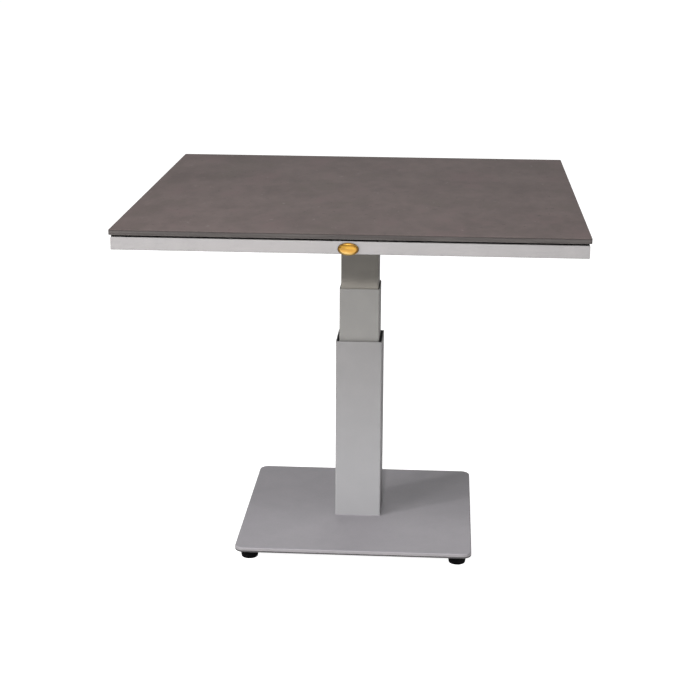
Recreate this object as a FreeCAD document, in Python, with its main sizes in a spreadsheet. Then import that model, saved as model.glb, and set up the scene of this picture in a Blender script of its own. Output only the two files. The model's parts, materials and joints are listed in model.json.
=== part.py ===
import FreeCAD, Part
import math
import os
import re

import Sketcher

# A high and low table: a square top in a steel frame on a three-stage square column over a
# square steel base with four levelling feet. It stands fully raised.
# Millimetres. Origin on the floor under the middle of the top, +Z up, the front edge towards -Y.

# Driving dimensions, by group. Each one becomes an aliased cell of the spreadsheet.
SIZES = {
    # table top slab and its rubber pads
    "top_side": 900,
    "top_height": 750,
    "top_thickness": 10,
    "top_corner": 3,
    "top_edge": 0.8,
    "pad_thickness": 4,
    "pad_side": 35,
    "pad_inset": 4.5,
    "long_pad": 70,
    "bar_pad_offset": 300,
    "front_pad_short": -52,
    "front_pad_long": 21,
    # steel frame under the slab
    "frame_side": 894,
    "rail_width": 40,
    "rail_height": 25,
    "rail_wall": 1.8,
    "rail_corner": 2.5,
    "mitre_margin": 6,
    "bar_offset": 85,
    # column tubes, from the outside in
    "outer_side": 100,
    "outer_wall": 2,
    "outer_corner": 3,
    "outer_length": 400,
    "middle_side": 86,
    "middle_wall": 1.5,
    "middle_corner": 3,
    "middle_length": 385,
    "middle_bottom": 160,
    "inner_side": 80,
    "inner_wall": 1.5,
    "inner_corner": 2.5,
    "inner_length": 385,
    # plastic guides between the tubes
    "guide_gap": 0.3,
    "guide_length": 50,
    "slim_guide_length": 40,
    "guide_recess": 1,
    # fillet welds at the column's foot and head
    "weld_leg": 3,
    "weld_bevel": 2.9,
    # base plate and flange
    "foot_height": 20,
    "base_side": 500,
    "base_thickness": 10,
    "base_corner": 20,
    "base_top_edge": 2.5,
    "base_low_edge": 1,
    "flange_thickness": 10,
    "centre_hole": 26,
    "bolt_offset": 30,
    "bolt_diameter": 8,
    "bolt_hole": 8.8,
    "bolt_reach": 18,
    "bolt_head": 5.3,
    "bolt_flats": 13,
    "bolt_washer": 16,
    "washer_thickness": 1.6,
    # levelling feet
    "foot_offset": 220,
    "foot_diameter": 38.4,
    "foot_gap": 0.3,
    "foot_belly": 36.4,
    "foot_belly_height": 6.5,
    "foot_sole": 34.2,
    "foot_sole_round": 2.2,
    "stud_diameter": 8,
    "stud_clearance": 0.05,
    "stud_start": 6,
    "stud_reach": 8,
    "stud_hole_depth": 8.5,
    # locking gas spring
    "cylinder_diameter": 28,
    "cylinder_wall": 2,
    "cylinder_floor": 5,
    "cylinder_length": 340,
    "cylinder_stud": 10,
    "cylinder_stud_length": 18,
    "stud_hole": 10.1,
    "nut_flats": 16,
    "nut_height": 8,
    "gland_height": 12,
    "gland_depth": 14,
    "rod_diameter": 10,
    "rod_clearance": 0.05,
    "rod_bottom": 346,
    "rod_above_plate": 6,
    "piston_height": 12,
    "jam_height": 5,
    "pin_diameter": 4,
    "pin_bore_depth": 32,
    "pin_length": 32,
    "pin_proud": 5,
    "pin_round": 0.6,
    # top plate and its screws
    "plate_length": 260,
    "plate_width": 230,
    "plate_thickness": 5,
    "plate_corner": 12,
    "screw_near": 48,
    "screw_far": 112,
    "screw_diameter": 6,
    "screw_hole": 6.6,
    "screw_reach": 9.5,
    "screw_head": 12,
    "screw_head_height": 3.8,
    "screw_washer": 14,
    "screw_washer_thickness": 1.2,
    "screw_flats": 4,
    "screw_socket": 2.2,
    # release lever
    "lever_width": 20,
    "lever_thickness": 8,
    "lever_gap": 0.3,
    "pivot_offset": 60,
    "pivot_diameter": 6,
    "pivot_clearance": 0.05,
    "hub_diameter": 16,
    "lever_bend": 150,
    "lever_drop": 26,
    "lever_end": 395,
    "lever_round": 5,
    "grip_start": 298,
    "grip_end": 400,
    "grip_width": 28,
    "grip_height": 17,
    "grip_corner": 6,
    "grip_edge": 3,
    # lever bracket, its pin and screws, and the rubber stop
    "bracket_length": 40,
    "bracket_wall": 3,
    "bracket_inside": 21,
    "bracket_ear": 23,
    "bracket_round": 8,
    "bracket_screw_offset": 11,
    "bracket_screw": 5,
    "bracket_screw_head": 9.5,
    "bracket_screw_head_height": 2.75,
    "pivot_head": 10,
    "pivot_head_height": 2,
    "pivot_tail": 3.5,
    "groove_diameter": 4.8,
    "clip_diameter": 11,
    "clip_thickness": 0.9,
    "clip_gap": 0.4,
    "clip_mouth": 3.6,
    "stop_offset": 118,
    "stop_diameter": 16,
    "stop_tip": 11,
    "stop_gap": 0.3,
    # blank oval badge on the front rail
    "badge_length": 39.8,
    "badge_height": 24.4,
    "badge_thickness": 2.3,
    "badge_edge": 1.2,
    "badge_drop": 1.7,
    "adhesive_length": 34,
    "adhesive_height": 16,
    "adhesive_thickness": 0.5,
}

FOOT_PLACES = {
    "front_left": (-1, -1),
    "front_right": (1, -1),
    "back_right": (1, 1),
    "back_left": (-1, 1),
}

# Heights that several sub-parts share, as expressions of the driving dimensions.
BASE_TOP = "foot_height + base_thickness"
FLANGE_TOP = f"{BASE_TOP} + flange_thickness"
SLAB_UNDERSIDE = "top_height - top_thickness"
FRAME_TOP = f"{SLAB_UNDERSIDE} - pad_thickness"
PLATE_TOP = f"{FRAME_TOP} - rail_height"
PLATE_UNDERSIDE = f"{PLATE_TOP} - plate_thickness"
ROD_TOP = f"{PLATE_TOP} + rod_above_plate"
PIN_TOP = f"{ROD_TOP} + pin_proud"
LEVER_AXIS = f"{PIN_TOP} + lever_gap + lever_thickness / 2"

doc = FreeCAD.newDocument("PedestalTable")
sheet = doc.addObject("Spreadsheet::Sheet", "Sizes")
for row, (alias, size) in enumerate(SIZES.items(), start=1):
    sheet.set(f"A{row}", alias)
    sheet.set(f"B{row}", str(size))
    sheet.setAlias(f"B{row}", alias)
doc.recompute()

sub_parts = []


# ---------------------------------------------------------------- expressions and placement
def from_sheet(text):
    """The expression with each alias read from the spreadsheet."""
    return re.sub(r"\b([a-z][a-z_]*)\b(?!\()", r"Sizes.\1", text)


def value(text):
    """The expression's size in millimetres now, for a shape's first guess."""
    return float(sheet.evalExpression(from_sheet(text)))


def bind(item, **expressions):
    """Bind properties to expressions. A double underscore in a name stands for a dot."""
    for name, text in expressions.items():
        item.setExpression(name.replace("__", "."), from_sheet(text))


def place(item, x="0", y="0", z="0", turn=0, about=(0, 0, 1)):
    """Turn an object about an axis through its own origin, then bind its position."""
    item.Placement = FreeCAD.Placement(FreeCAD.Vector(), FreeCAD.Rotation(FreeCAD.Vector(*about), turn))
    bind(item, Placement__Base__x=x, Placement__Base__y=y, Placement__Base__z=z)


def keep(item, label):
    """List the object as a sub-part, under the name that its file gets."""
    item.Label = label
    sub_parts.append(item)
    return item


# ---------------------------------------------------------------- sketches
def sketch_on(body, plane="XY_Plane", offset=None):
    """A sketch on one of the body's own origin planes, lifted by an expression."""
    support = next(item for item in body.Origin.OriginFeatures if item.Role == plane)
    sketch = body.newObject("Sketcher::SketchObject", f"{body.Name}_outline")
    sketch.AttachmentSupport = [(support, "")]
    sketch.MapMode = "FlatFace"
    if offset:
        bind(sketch, AttachmentOffset__Base__z=offset)
    return sketch


def fix(sketch, name, text, *where):
    """Add a named dimension to a sketch and bind it to an expression."""
    sketch.addConstraint(Sketcher.Constraint(*where, value(text)))
    index = sketch.ConstraintCount - 1
    sketch.renameConstraint(index, name)
    bind(sketch, **{f"Constraints__{name}": text})


def add_rectangle(sketch, name, width, depth, corner):
    """A rectangle with round corners, centred on the sketch's origin."""
    half_x = value(width) / 2
    half_y = value(depth) / 2
    radius = value(corner)
    flat_x = half_x - radius
    flat_y = half_y - radius
    up = FreeCAD.Vector(0, 0, 1)
    ends = [
        ((-flat_x, -half_y), (flat_x, -half_y)),
        ((half_x, -flat_y), (half_x, flat_y)),
        ((flat_x, half_y), (-flat_x, half_y)),
        ((-half_x, flat_y), (-half_x, -flat_y)),
    ]
    centres = [(flat_x, -flat_y), (flat_x, flat_y), (-flat_x, flat_y), (-flat_x, -flat_y)]
    first = sketch.GeometryCount
    for start, end in ends:
        sketch.addGeometry(Part.LineSegment(FreeCAD.Vector(*start, 0), FreeCAD.Vector(*end, 0)))
    for quarter, centre in enumerate(centres):
        circle = Part.Circle(FreeCAD.Vector(*centre, 0), up, radius)
        begin = (quarter - 1) * math.pi / 2
        sketch.addGeometry(Part.ArcOfCircle(circle, begin, begin + math.pi / 2))
    for quarter in range(4):
        line = first + quarter
        arc = first + 4 + quarter
        following = first + (quarter + 1) % 4
        sketch.addConstraint(Sketcher.Constraint("Tangent", line, 2, arc, 1))
        sketch.addConstraint(Sketcher.Constraint("Tangent", arc, 2, following, 1))
        direction = "Vertical" if quarter % 2 else "Horizontal"
        sketch.addConstraint(Sketcher.Constraint(direction, line))
        if quarter:
            sketch.addConstraint(Sketcher.Constraint("Equal", first + 4, arc))
    sketch.addConstraint(Sketcher.Constraint("Symmetric", first + 4, 3, first + 6, 3, -1, 1))
    fix(sketch, f"{name}_corner", corner, "Radius", first + 4)
    fix(sketch, f"{name}_width", width, "DistanceX", first + 3, 1, first + 1, 1)
    fix(sketch, f"{name}_depth", depth, "DistanceY", first, 1, first + 2, 2)


def add_circle(sketch, name, diameter, x=None, y=None):
    """A circle at a bound place, or at the sketch's origin."""
    centre = FreeCAD.Vector(value(x) if x else 0, value(y) if y else 0, 0)
    index = sketch.addGeometry(Part.Circle(centre, FreeCAD.Vector(0, 0, 1), value(diameter) / 2))
    fix(sketch, f"{name}_diameter", diameter, "Diameter", index)
    pin_point(sketch, name, index, 3, x, y)


def pin_point(sketch, name, index, point, x, y):
    """Hold a point of the sketch at bound distances from its origin, or on its axes."""
    if x is None and y is None:
        sketch.addConstraint(Sketcher.Constraint("Coincident", index, point, -1, 1))
        return
    if x is None:
        sketch.addConstraint(Sketcher.Constraint("PointOnObject", index, point, -2))
    else:
        fix(sketch, f"{name}_x", x, "DistanceX", -1, 1, index, point)
    if y is None:
        sketch.addConstraint(Sketcher.Constraint("PointOnObject", index, point, -1))
    else:
        fix(sketch, f"{name}_y", y, "DistanceY", -1, 1, index, point)


def add_polygon(sketch, name, points):
    """A closed outline through bound points, where None keeps a coordinate on its axis."""
    first = sketch.GeometryCount
    count = len(points)
    corners = [FreeCAD.Vector(value(x) if x else 0, value(y) if y else 0, 0) for x, y in points]
    for step in range(count):
        sketch.addGeometry(Part.LineSegment(corners[step], corners[(step + 1) % count]))
    for step in range(count):
        following = first + (step + 1) % count
        sketch.addConstraint(Sketcher.Constraint("Coincident", first + step, 2, following, 1))
    for step, (x, y) in enumerate(points):
        pin_point(sketch, f"{name}_{step}", first + step, 1, x, y)


# ---------------------------------------------------------------- features
def add_pad(body, sketch, length, symmetric=False):
    feature = body.newObject("PartDesign::Pad", f"{body.Name}_pad")
    feature.Profile = sketch
    feature.SideType = "Symmetric" if symmetric else "One side"
    bind(feature, Length=length)
    return feature


def add_pocket(body, sketch, depth=None, symmetric=False, upward=False):
    """Cut a sketch through the solid, or to a depth. It must take some volume away."""
    doc.recompute()
    before = body.Shape.Volume
    feature = body.newObject("PartDesign::Pocket", f"{body.Name}_pocket")
    feature.Profile = sketch
    feature.SideType = "Symmetric" if symmetric else "One side"
    feature.Reversed = upward
    if depth:
        bind(feature, Length=depth)
    else:
        feature.Type = "ThroughAll"
    doc.recompute()
    if body.Shape.Volume > before - 0.01:
        raise RuntimeError(f"{body.Name}: a pocket cuts nothing")
    return feature


def add_revolution(body, sketch):
    """Turn a sketch once around its own vertical axis."""
    feature = body.newObject("PartDesign::Revolution", f"{body.Name}_turning")
    feature.Profile = sketch
    feature.ReferenceAxis = (sketch, ["V_Axis"])
    feature.Angle = 360
    return feature


def edge_names(feature, chosen):
    """The names of the feature's edges that a test chooses."""
    doc.recompute()
    names = []
    for number, edge in enumerate(feature.Shape.Edges, start=1):
        if chosen(edge):
            names.append(f"Edge{number}")
    if not names:
        raise RuntimeError(f"{feature.Name}: no edge is chosen")
    return names


def add_fillet(body, feature, radius, chosen):
    """Round the edges of a feature that a test chooses."""
    names = edge_names(feature, chosen)
    rounding = body.newObject("PartDesign::Fillet", f"{body.Name}_fillet")
    rounding.Base = (feature, names)
    bind(rounding, Radius=radius)
    return rounding


def new_body(name):
    return doc.addObject("PartDesign::Body", name)


def at_height(level):
    """A test for edges that lie flat at a height, given as an expression."""
    height = value(level)
    return lambda edge: edge.BoundBox.ZLength < 1e-6 and abs(edge.BoundBox.ZMin - height) < 1e-6


def along_y(edge):
    """A test for straight edges parallel to Y."""
    box = edge.BoundBox
    return box.YLength > 1e-3 and box.XLength < 1e-6 and box.ZLength < 1e-6


# ---------------------------------------------------------------- families of sub-parts
def turned_piece(label, outline):
    """A piece turned about Z from an outline of radius and height."""
    body = new_body(label)
    sketch = sketch_on(body, "XZ_Plane")
    add_polygon(sketch, "turn", outline)
    add_revolution(body, sketch)
    return keep(body, label)


def square_tube(label, side, wall, corner, length, bottom):
    """An upright square tube. Its inside corner is the outside one less the wall."""
    body = new_body(label)
    sketch = sketch_on(body)
    add_rectangle(sketch, "outside", side, side, corner)
    inside = f"{side} - 2 * ({wall})"
    add_rectangle(sketch, "inside", inside, inside, f"{corner} - ({wall})")
    add_pad(body, sketch, length)
    place(body, z=bottom)
    return keep(body, label)


def square_guide(label, outside, outside_corner, inside, inside_corner, length, bottom):
    """A plastic guide that fills the gap between two column tubes."""
    body = new_body(label)
    sketch = sketch_on(body)
    add_rectangle(sketch, "outside", outside, outside, outside_corner)
    add_rectangle(sketch, "inside", inside, inside, inside_corner)
    add_pad(body, sketch, length)
    place(body, z=bottom)
    return keep(body, label)


def rail_tube(body, length):
    """A rectangular tube along X, centred on its own origin."""
    sketch = sketch_on(body, "YZ_Plane")
    add_rectangle(sketch, "outside", "rail_width", "rail_height", "rail_corner")
    add_rectangle(
        sketch,
        "inside",
        "rail_width - 2 * rail_wall",
        "rail_height - 2 * rail_wall",
        "rail_corner - rail_wall",
    )
    return add_pad(body, sketch, length, symmetric=True)


def hex_nut(label, height, bottom):
    """A hexagon nut around the rod's thread."""
    block = doc.addObject("Part::Prism", f"{label}_block")
    block.Polygon = 6
    bind(block, Circumradius="nut_flats / 1.7320508", Height=height)
    hole = doc.addObject("Part::Cylinder", f"{label}_hole")
    bind(hole, Radius="stud_hole / 2", Height=height)
    nut = doc.addObject("Part::Cut", label)
    nut.Base = block
    nut.Tool = hole
    place(nut, z=bottom)
    return keep(nut, label)


def copies(label, original, places, level):
    """One sub-part that holds a separate copy of a small piece at each place."""
    links = []
    for number, (x, y) in enumerate(places):
        link = doc.addObject("App::Link", f"{label}_copy_{number}")
        link.LinkedObject = original
        place(link, x=x, y=y)
        links.append(link)
    group = doc.addObject("Part::Compound", label)
    group.Links = links
    place(group, z=level)
    return keep(group, label)


def washer_model(name, diameter, hole, thickness):
    """A plain washer whose top face is at its own origin."""
    body = new_body(name)
    sketch = sketch_on(body)
    add_circle(sketch, "rim", diameter)
    add_circle(sketch, "hole", hole)
    feature = add_pad(body, sketch, thickness)
    feature.Reversed = True
    return body


# ---------------------------------------------------------------- base
def base_plate():
    """The square plate on the floor side, drilled for the bolts, the nut and the feet."""
    body = new_body("base_plate")
    sketch = sketch_on(body)
    add_rectangle(sketch, "plate", "base_side", "base_side", "base_corner")
    feature = add_pad(body, sketch, "base_thickness")
    feature = add_fillet(body, feature, "base_top_edge", at_height("base_thickness"))
    add_fillet(body, feature, "base_low_edge", at_height("0"))
    through = sketch_on(body)
    add_circle(through, "centre", "centre_hole")
    for number, (x, y) in enumerate(bolt_places()):
        add_circle(through, f"bolt_{number}", "bolt_hole", x, y)
    add_pocket(body, through, upward=True)
    blind = sketch_on(body)
    for name, (x, y) in FOOT_PLACES.items():
        diameter = "stud_diameter + 2 * stud_clearance"
        add_circle(blind, name, diameter, f"{x} * foot_offset", f"{y} * foot_offset")
    add_pocket(body, blind, "stud_hole_depth", upward=True)
    place(body, z="foot_height")
    keep(body, "base_plate")


def bolt_places():
    return [(f"{x} * bolt_offset", f"{y} * bolt_offset") for x, y in FOOT_PLACES.values()]


def column_flange():
    """The thick square welded inside the outer tube's foot, tapped for the bolts."""
    body = new_body("column_flange")
    sketch = sketch_on(body)
    side = "outer_side - 2 * outer_wall"
    add_rectangle(sketch, "flange", side, side, "outer_corner - outer_wall")
    add_circle(sketch, "centre", "stud_hole")
    for number, (x, y) in enumerate(bolt_places()):
        diameter = "bolt_diameter + 2 * stud_clearance"
        add_circle(sketch, f"bolt_{number}", diameter, x, y)
    add_pad(body, sketch, "flange_thickness")
    place(body, z=BASE_TOP)
    keep(body, "column_flange")


def base_fasteners():
    """Four hexagon bolts with washers, up through the plate into the flange."""
    washer = washer_model("base_washer_model", "bolt_washer", "bolt_hole", "washer_thickness")
    copies("base_washers", washer, bolt_places(), "foot_height")
    head = doc.addObject("Part::Prism", "base_bolt_head")
    head.Polygon = 6
    bind(head, Circumradius="bolt_flats / 1.7320508", Height="bolt_head")
    place(head, z="-bolt_head")
    shank = doc.addObject("Part::Cylinder", "base_bolt_shank")
    bind(shank, Radius="bolt_diameter / 2", Height="bolt_reach + washer_thickness")
    bolt = doc.addObject("Part::Fuse", "base_bolt_model")
    bolt.Base = head
    bolt.Tool = shank
    copies("base_bolts", bolt, bolt_places(), "foot_height - washer_thickness")


def levelling_feet():
    """Four black moulded feet, each on a threaded stud that screws into the plate."""
    bore = "stud_diameter / 2 + stud_clearance"
    for name, (x, y) in FOOT_PLACES.items():
        across = f"{x} * foot_offset"
        along = f"{y} * foot_offset"
        body = new_body(f"foot_pad_{name}")
        sketch = sketch_on(body, "XZ_Plane")
        outline = [
            (None, None),
            ("foot_sole / 2", None),
            ("foot_belly / 2", "foot_belly_height"),
            ("foot_diameter / 2", "foot_height - foot_gap"),
            (bore, "foot_height - foot_gap"),
            (bore, "stud_start - foot_gap"),
            (None, "stud_start - foot_gap"),
        ]
        add_polygon(sketch, "foot", outline)
        feature = add_revolution(body, sketch)
        add_fillet(body, feature, "foot_sole_round", at_height("0"))
        place(body, x=across, y=along)
        keep(body, f"foot_pad_{name}")
        outline = [
            (None, "stud_start"),
            ("stud_diameter / 2", "stud_start"),
            ("stud_diameter / 2", "foot_height + stud_reach"),
            (None, "foot_height + stud_reach"),
        ]
        stud = turned_piece(f"foot_stud_{name}", outline)
        place(stud, x=across, y=along)


# ---------------------------------------------------------------- column
def column_tubes():
    square_tube("outer_tube", "outer_side", "outer_wall", "outer_corner", "outer_length", BASE_TOP)
    square_tube(
        "middle_tube", "middle_side", "middle_wall", "middle_corner", "middle_length", "middle_bottom"
    )
    inner_bottom = f"{PLATE_UNDERSIDE} - inner_length"
    square_tube(
        "inner_tube", "inner_side", "inner_wall", "inner_corner", "inner_length", inner_bottom
    )


def column_guides():
    """Two collars near the tops of the tubes and two shoes at the feet of the sliding ones."""
    outer_bore = "outer_side - 2 * outer_wall"
    outer_bore_corner = "outer_corner - outer_wall"
    middle_bore = "middle_side - 2 * middle_wall"
    middle_bore_corner = "middle_corner - middle_wall"
    square_guide(
        "outer_guide",
        outer_bore,
        outer_bore_corner,
        "middle_side + 2 * guide_gap",
        "middle_corner + guide_gap",
        "guide_length",
        f"{BASE_TOP} + outer_length - guide_recess - guide_length",
    )
    square_guide(
        "middle_lower_guide",
        f"{outer_bore} - 2 * guide_gap",
        f"{outer_bore_corner} - guide_gap",
        "middle_side",
        "middle_corner",
        "slim_guide_length",
        "middle_bottom",
    )
    square_guide(
        "middle_upper_guide",
        middle_bore,
        middle_bore_corner,
        "inner_side + 2 * guide_gap",
        "inner_corner + guide_gap",
        "slim_guide_length",
        "middle_bottom + middle_length - guide_recess - slim_guide_length",
    )
    square_guide(
        "inner_lower_guide",
        f"{middle_bore} - 2 * guide_gap",
        f"{middle_bore_corner} - guide_gap",
        "inner_side",
        "inner_corner",
        "slim_guide_length",
        f"{PLATE_UNDERSIDE} - inner_length",
    )


def column_welds():
    """The fillet welds that join the outer tube to the base and the inner tube to the top plate."""
    weld_ring("foot_weld", "outer_side", "outer_corner", BASE_TOP, 0)
    weld_ring("head_weld", "inner_side", "inner_corner", PLATE_UNDERSIDE, 180)


def weld_ring(label, side, corner, level, turn):
    """A square ring of triangular section around a tube, turned over where it hangs."""
    body = new_body(label)
    sketch = sketch_on(body)
    rim = f"{side} + 2 * weld_leg"
    add_rectangle(sketch, "rim", rim, rim, f"{corner} + weld_leg")
    add_rectangle(sketch, "tube", side, side, corner)
    feature = add_pad(body, sketch, "weld_leg")
    tube_half = value(side) / 2
    leg = value("weld_leg")
    at_leg = at_height("weld_leg")

    def outer_edge(edge):
        middle = edge.valueAt((edge.FirstParameter + edge.LastParameter) / 2)
        return at_leg(edge) and max(abs(middle.x), abs(middle.y)) > tube_half + leg / 3

    names = edge_names(feature, outer_edge)
    bevel = body.newObject("PartDesign::Chamfer", f"{label}_bevel")
    bevel.Base = (feature, names)
    bind(bevel, Size="weld_bevel")
    place(body, z=level, turn=turn, about=(1, 0, 0))
    keep(body, label)


def gas_spring():
    """The locking gas spring: cylinder, gland, rod, piston, release pin and its nuts."""
    barrel = "cylinder_diameter / 2"
    bore = f"{barrel} - cylinder_wall"
    thread = "cylinder_stud / 2"
    cylinder = turned_piece(
        "gas_cylinder",
        [
            (None, "-cylinder_stud_length"),
            (thread, "-cylinder_stud_length"),
            (thread, None),
            (barrel, None),
            (barrel, "cylinder_length"),
            (bore, "cylinder_length"),
            (bore, "cylinder_floor"),
            (None, "cylinder_floor"),
        ],
    )
    place(cylinder, z=FLANGE_TOP)
    rod = "rod_diameter / 2"
    sliding = f"{rod} + rod_clearance"
    gland = turned_piece(
        "cylinder_gland",
        [(sliding, None), (bore, None), (bore, "gland_height"), (sliding, "gland_height")],
    )
    place(gland, z=f"{FLANGE_TOP} + cylinder_length - gland_depth")
    piston_rim = f"{bore} - rod_clearance"
    piston = turned_piece(
        "gas_piston",
        [(rod, None), (piston_rim, None), (piston_rim, "piston_height"), (rod, "piston_height")],
    )
    place(piston, z="rod_bottom")
    pin_bore = "pin_diameter / 2 + rod_clearance"
    turned_piece(
        "gas_rod",
        [
            (None, "rod_bottom"),
            (rod, "rod_bottom"),
            (rod, ROD_TOP),
            (pin_bore, ROD_TOP),
            (pin_bore, f"{ROD_TOP} - pin_bore_depth"),
            (None, f"{ROD_TOP} - pin_bore_depth"),
        ],
    )
    pin = turned_piece(
        "release_pin",
        [
            (None, "-pin_length"),
            ("pin_diameter / 2", "-pin_length"),
            ("pin_diameter / 2", "-pin_round"),
            ("pin_diameter / 2 - pin_round", None),
            (None, None),
        ],
    )
    place(pin, z=PIN_TOP)
    hex_nut("cylinder_nut", "nut_height", f"{BASE_TOP} - nut_height")
    hex_nut("rod_lower_nut", "jam_height", f"{PLATE_UNDERSIDE} - jam_height")
    hex_nut("rod_upper_nut", "jam_height", PLATE_TOP)


# ---------------------------------------------------------------- frame and top
def frame_rails():
    """Four mitred rails, the same tube turned by a quarter each time."""
    names = ["front", "right", "back", "left"]
    reach = "(frame_side - rail_width) / 2"
    places = [("0", f"-{reach}"), (reach, "0"), ("0", reach), (f"-{reach}", "0")]
    half = "frame_side / 2"
    side = "rail_width / 2"
    for quarter, (name, (x, y)) in enumerate(zip(names, places)):
        body = new_body(f"rail_{name}")
        rail_tube(body, "frame_side")
        mitre = sketch_on(body)
        for sign in ("", "-"):
            outline = [
                (f"{sign}({half} + mitre_margin)", f"-({side} + mitre_margin)"),
                (f"{sign}({half} - rail_width - mitre_margin)", f"{side} + mitre_margin"),
                (f"{sign}({half} + mitre_margin)", f"{side} + mitre_margin"),
            ]
            add_polygon(mitre, "left" if sign else "right", outline)
        add_pocket(body, mitre, symmetric=True)
        place(body, x, y, f"{FRAME_TOP} - rail_height / 2", turn=90 * quarter)
        keep(body, f"rail_{name}")


def cross_bars():
    """Two bars between the side rails, tapped below for the top plate's screws."""
    for name, side in (("front", "-"), ("back", "")):
        body = new_body(f"cross_bar_{name}")
        rail_tube(body, "frame_side - 2 * rail_width")
        holes = sketch_on(body, offset="-rail_height / 2")
        for number, x in enumerate(screw_columns()):
            add_circle(holes, f"screw_{number}", "screw_diameter + 2 * stud_clearance", x)
        add_pocket(body, holes, "rail_wall + 1", upward=True)
        place(body, y=f"{side}bar_offset", z=f"{FRAME_TOP} - rail_height / 2")
        keep(body, f"cross_bar_{name}")


def screw_columns():
    return ["-screw_far", "-screw_near", "screw_near", "screw_far"]


def screw_places():
    return [(x, y) for y in ("-bar_offset", "bar_offset") for x in screw_columns()]


def bracket_screw_places():
    return [(f"pivot_offset {sign} bracket_screw_offset", "0") for sign in "-+"]


def top_plate():
    """The plate welded on the inner tube, which carries the frame."""
    body = new_body("top_plate")
    sketch = sketch_on(body)
    add_rectangle(sketch, "plate", "plate_length", "plate_width", "plate_corner")
    add_circle(sketch, "rod", "stud_hole")
    for number, (x, y) in enumerate(screw_places()):
        add_circle(sketch, f"screw_{number}", "screw_hole", x, y)
    for number, (x, y) in enumerate(bracket_screw_places()):
        diameter = "bracket_screw + 2 * stud_clearance"
        add_circle(sketch, f"bracket_{number}", diameter, x)
    add_pad(body, sketch, "plate_thickness")
    place(body, z=PLATE_UNDERSIDE)
    keep(body, "top_plate")


def socket_screw_model(name, diameter, reach, head, head_height):
    """A pan head screw with a hexagon socket, pointing up from its own origin."""
    body = new_body(name)
    sketch = sketch_on(body, "XZ_Plane")
    outline = [
        (None, f"-{head_height}"),
        (f"0.35 * {head}", f"-{head_height}"),
        (f"{head} / 2", f"-0.35 * {head_height}"),
        (f"{head} / 2", None),
        (f"{diameter} / 2", None),
        (f"{diameter} / 2", reach),
        (None, reach),
    ]
    add_polygon(sketch, "turn", outline)
    add_revolution(body, sketch)
    socket = sketch_on(body, offset=f"-{head_height}")
    corner = "screw_flats / 1.7320508"
    hexagon = [
        (corner, None),
        (f"{corner} / 2", "screw_flats / 2"),
        (f"-{corner} / 2", "screw_flats / 2"),
        (f"-{corner}", None),
        (f"-{corner} / 2", "-screw_flats / 2"),
        (f"{corner} / 2", "-screw_flats / 2"),
    ]
    add_polygon(socket, "hexagon", hexagon)
    add_pocket(body, socket, "screw_socket", upward=True)
    return body


def plate_fasteners():
    """Eight screws with washers that hold the top plate up against the cross bars."""
    washer = washer_model("plate_washer_model", "screw_washer", "screw_hole", "screw_washer_thickness")
    copies("top_plate_washers", washer, screw_places(), PLATE_UNDERSIDE)
    screw = socket_screw_model(
        "plate_screw_model", "screw_diameter", "screw_reach", "screw_head", "screw_head_height"
    )
    level = f"{PLATE_UNDERSIDE} - screw_washer_thickness"
    copies("top_plate_screws", screw, screw_places(), level)


def pad_places():
    """Centre, length along X and length along Y of each rubber pad on the frame."""
    reach = "(top_side / 2 - pad_inset - pad_side / 2)"
    square = ("pad_side", "pad_side")
    places = [(f"{x} * {reach}", f"{y} * {reach}", *square) for x, y in FOOT_PLACES.values()]
    places.append(("front_pad_short", f"-{reach}", *square))
    places.append(("front_pad_long", f"-{reach}", "long_pad", "pad_side"))
    places.append(("0", reach, "long_pad", "pad_side"))
    places.append((reach, "0", "pad_side", "long_pad"))
    places.append((f"-{reach}", "0", "pad_side", "long_pad"))
    for x in ("-bar_pad_offset", "bar_pad_offset"):
        for y in ("-bar_offset", "bar_offset"):
            places.append((x, y, *square))
    return places


def slab_pads():
    """The rubber pads between the frame and the slab, one sub-part of separate blocks."""
    blocks = []
    for number, (x, y, length, width) in enumerate(pad_places()):
        block = doc.addObject("Part::Box", f"slab_pad_{number}")
        bind(block, Length=length, Width=width, Height="pad_thickness")
        place(block, x=f"{x} - {length} / 2", y=f"{y} - {width} / 2")
        blocks.append(block)
    group = doc.addObject("Part::Compound", "slab_pads")
    group.Links = blocks
    place(group, z=FRAME_TOP)
    keep(group, "slab_pads")


def table_top():
    """The square slab, with a small round on every outer edge."""
    body = new_body("table_top")
    sketch = sketch_on(body)
    add_rectangle(sketch, "slab", "top_side", "top_side", "top_corner")
    feature = add_pad(body, sketch, "top_thickness")
    feature = add_fillet(body, feature, "top_edge", at_height("top_thickness"))
    add_fillet(body, feature, "top_edge", at_height("0"))
    place(body, z=SLAB_UNDERSIDE)
    keep(body, "table_top")


def oval_plate(label, length, height, thickness):
    """An upright oval plate whose back is at its own origin and front towards -Y."""
    oval = doc.addObject("Part::Ellipse", f"{label}_oval")
    bind(oval, MajorRadius=f"({length}) / 2", MinorRadius=f"({height}) / 2")
    oval.Placement.Rotation = FreeCAD.Rotation(FreeCAD.Vector(1, 0, 0), 90)
    plate = doc.addObject("Part::Extrusion", f"{label}_plate")
    plate.Base = oval
    plate.DirMode = "Custom"
    plate.Dir = FreeCAD.Vector(0, -1, 0)
    plate.Solid = True
    bind(plate, LengthFwd=thickness)
    return plate


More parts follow.
